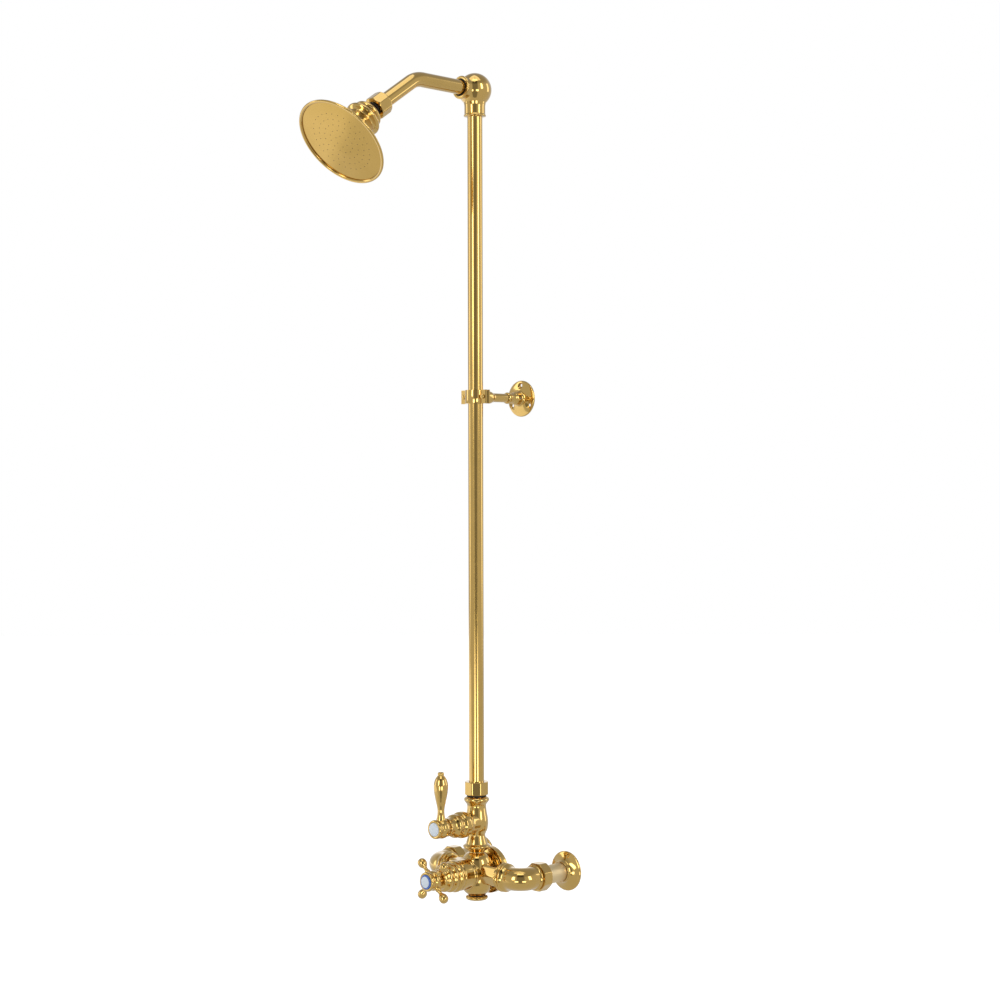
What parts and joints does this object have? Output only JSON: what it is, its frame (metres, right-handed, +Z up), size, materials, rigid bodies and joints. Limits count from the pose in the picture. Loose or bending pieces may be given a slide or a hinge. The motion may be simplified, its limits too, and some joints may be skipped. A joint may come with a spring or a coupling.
{
  "type": "shower column",
  "caption": "Exposed thermostatic shower column in polished brass: wall elbows, mixing valve with cross handle, volume lever, riser with wall bracket, bent arm and swivel bell head.",
  "frame": {"origin": "on the finished wall plane, midway between the two supplies, at their height", "axes": "+X to the right seen from the room (cold side), +Y into the wall, +Z up; the riser stands at y = -97 mm"},
  "size_m": [0.2356, 0.4117, 1.206],
  "materials": {
    "polished_brass": "mirror polished, lacquered",
    "raw_brass": "pale, machined, unpolished",
    "porcelain": "glossy glaze, blue edge line on the temperature button",
    "disc_ceramic": "lapped",
    "black_rubber": "matt",
    "seat_plastic": "moulded acetal",
    "stainless": "turned",
    "copper_element": "drawn copper alloy capsule"
  },
  "bodies": {
    "column": {"cold_nipple": "raw_brass", "hot_nipple": "raw_brass", "cold_flange": "polished_brass", "hot_flange": "polished_brass", "cold_elbow_nut": "polished_brass", "hot_elbow_nut": "polished_brass", "elbow_olives": "raw_brass", "cold_elbow": "polished_brass", "hot_elbow": "polished_brass", "cold_union_tail": "raw_brass", "hot_union_tail": "raw_brass", "cold_union_nut": "polished_brass", "hot_union_nut": "polished_brass", "union_washers": "black_rubber", "check_bodies": "seat_plastic", "cold_check_spring": "stainless", "hot_check_spring": "stainless", "valve_body": "polished_brass", "rear_cap": "polished_brass", "rear_cap_seal": "black_rubber", "bottom_plug": "polished_brass", "plug_seal": "black_rubber", "thermo_bonnet": "polished_brass", "return_spring": "stainless", "outlet_tee": "polished_brass", "volume_bonnet": "polished_brass", "disc_fixed": "disc_ceramic", "riser_seal": "black_rubber", "riser_olive": "raw_brass", "riser_nut": "polished_brass", "riser": "polished_brass", "clamp_front": "polished_brass", "clamp_rear": "polished_brass", "clamp_screws": "polished_brass", "bracket_stem": "polished_brass", "bracket_flange": "polished_brass", "stem_screw": "stainless", "ball_elbow": "polished_brass", "arm_seal": "black_rubber", "arm": "polished_brass", "ball_stem": "polished_brass"},
    "temperature_handle": {"cross_handle": "polished_brass", "cross_screw": "stainless", "cross_button": "porcelain", "thermo_spindle": "raw_brass"},
    "mixing_shuttle": {"shuttle": "stainless", "wax_element": "copper_element"},
    "flow_lever": {"volume_lever": "polished_brass", "lever_screw": "stainless", "lever_button": "porcelain", "volume_spindle": "raw_brass", "disc_moving": "disc_ceramic"},
    "joint_ring": {"joint_gasket": "black_rubber"},
    "head": {"head_collar": "polished_brass", "ball_seat": "seat_plastic", "head_shell": "polished_brass", "plate_gasket": "black_rubber", "spray_plate": "polished_brass"},
    "cold_check": {"cold_poppet": "stainless"},
    "hot_check": {"hot_poppet": "stainless"}
  },
  "joints": [
    {"name": "temperature_turn", "type": "hinge", "parent": "column", "child": "temperature_handle", "pos_m": [0, -0.1846, 0], "axis": [0, 1, 0], "range_deg": [-135, 135]},
    {"name": "shuttle_slide", "type": "slide", "parent": "column", "child": "mixing_shuttle", "axis": [0, 1, 0], "range_m": [-0.00091, 0.00091], "deforming": ["return_spring"]},
    {"name": "volume_turn", "type": "hinge", "parent": "column", "child": "flow_lever", "pos_m": [0, -0.17, 0.0724], "axis": [0, 1, 0], "range_deg": [0, 90]},
    {"name": "head_swivel", "type": "hinge", "parent": "column", "child": "joint_ring", "pos_m": [0, -0.30383, 1.07926], "axis": [0, -0.8241, -0.5664], "continuous": true},
    {"name": "head_tilt", "type": "hinge", "parent": "joint_ring", "child": "head", "pos_m": [0, -0.30383, 1.07926], "axis": [1, 0, 0], "range_deg": [-23.5, 6.5]},
    {"name": "cold_check_slide", "type": "slide", "parent": "column", "child": "cold_check", "axis": [-1, 0, 0], "range_m": [0, 0.003], "stiffness_N_per_m": 150, "springref_m": -0.002, "deforming": ["cold_check_spring"]},
    {"name": "hot_check_slide", "type": "slide", "parent": "column", "child": "hot_check", "axis": [1, 0, 0], "range_m": [0, 0.003], "stiffness_N_per_m": 150, "springref_m": -0.002, "deforming": ["hot_check_spring"]}
  ],
  "couplings": [
    {"joint": "shuttle_slide", "follows": "temperature_turn", "m_per_rad": 0.00038197}
  ]
}
